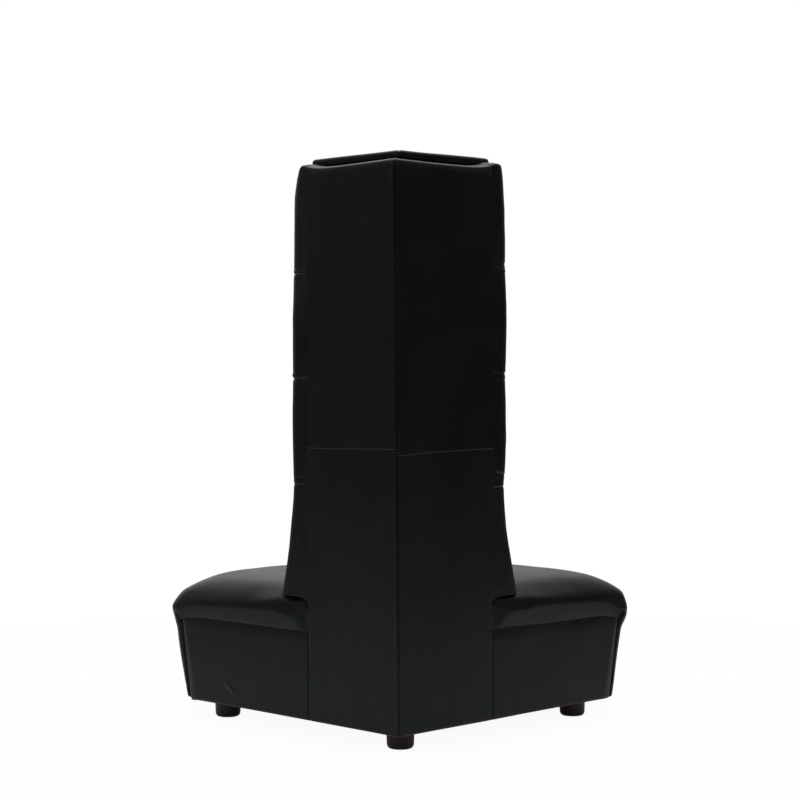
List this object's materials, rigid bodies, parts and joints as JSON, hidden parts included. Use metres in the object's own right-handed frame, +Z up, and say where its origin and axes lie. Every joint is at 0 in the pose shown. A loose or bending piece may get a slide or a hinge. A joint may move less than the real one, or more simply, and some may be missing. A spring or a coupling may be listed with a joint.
{
  "type": "upholstered corner seat",
  "caption": "High-backed corner seat: an L-shaped, channelled leather back round a square crowned cushion, on a boxed base with turned wooden feet.",
  "frame": {"origin": "on the floor, under the centre of the square seat plan", "axes": "+Z up; +X and +Y each point square to one wing's outer back face, so the back corner is at +X +Y and the seat's front corner at -X -Y"},
  "size_m": [0.98, 0.98, 1.6],
  "materials": {
    "foot_wood": "satin",
    "steel": "satin",
    "frame_timber": "matte",
    "board": "matte",
    "webbing": "matte",
    "hessian": "matte",
    "foam": "matte",
    "black_leather": "satin",
    "tan_thread": "matte",
    "dust_cloth": "matte"
  },
  "bodies": {
    "root": {"foot_corner": "foot_wood", "foot_left": "foot_wood", "foot_right": "foot_wood", "foot_front": "foot_wood", "foot_bolts": "steel", "foot_plates": "steel", "foot_plate_screws": "steel", "frame_screws": "steel", "frame_coach_bolts": "steel", "back_corner_post": "frame_timber", "base_posts": "frame_timber", "base_struts": "frame_timber", "corner_blocks": "frame_timber", "base_rail_left": "frame_timber", "base_rail_right": "frame_timber", "base_rail_front_left": "frame_timber", "base_rail_front_right": "frame_timber", "seat_rail_left": "frame_timber", "seat_rail_right": "frame_timber", "seat_rail_front_left": "frame_timber", "seat_rail_front_right": "frame_timber", "back_end_post_left": "frame_timber", "back_end_post_right": "frame_timber", "back_top_rail_left": "frame_timber", "back_top_rail_right": "frame_timber", "back_cross_rails_left": "frame_timber", "back_cross_rails_right": "frame_timber", "outer_back_board_left": "board", "outer_back_board_right": "board", "side_board_left": "board", "side_board_right": "board", "front_board_left": "board", "front_board_right": "board", "seat_webbing": "webbing", "back_webbing_left": "webbing", "back_webbing_right": "webbing", "seat_hessian": "hessian", "seat_foam": "foam", "back_foam_left": "foam", "back_foam_right": "foam", "front_foam_left": "foam", "front_foam_right": "foam", "top_roll_foam_left": "foam", "top_roll_foam_right": "foam", "seat_cover": "black_leather", "inside_back_cover_left": "black_leather", "inside_back_cover_right": "black_leather", "outer_back_upper_left": "black_leather", "outer_back_upper_right": "black_leather", "outer_back_lower_left": "black_leather", "outer_back_lower_right": "black_leather", "side_cover_left": "black_leather", "side_cover_right": "black_leather", "front_cover_left": "black_leather", "front_cover_right": "black_leather", "top_roll_cover_left": "black_leather", "top_roll_cover_right": "black_leather", "corner_stitching": "tan_thread", "dust_cloth": "dust_cloth"}
  },
  "joints": []
}
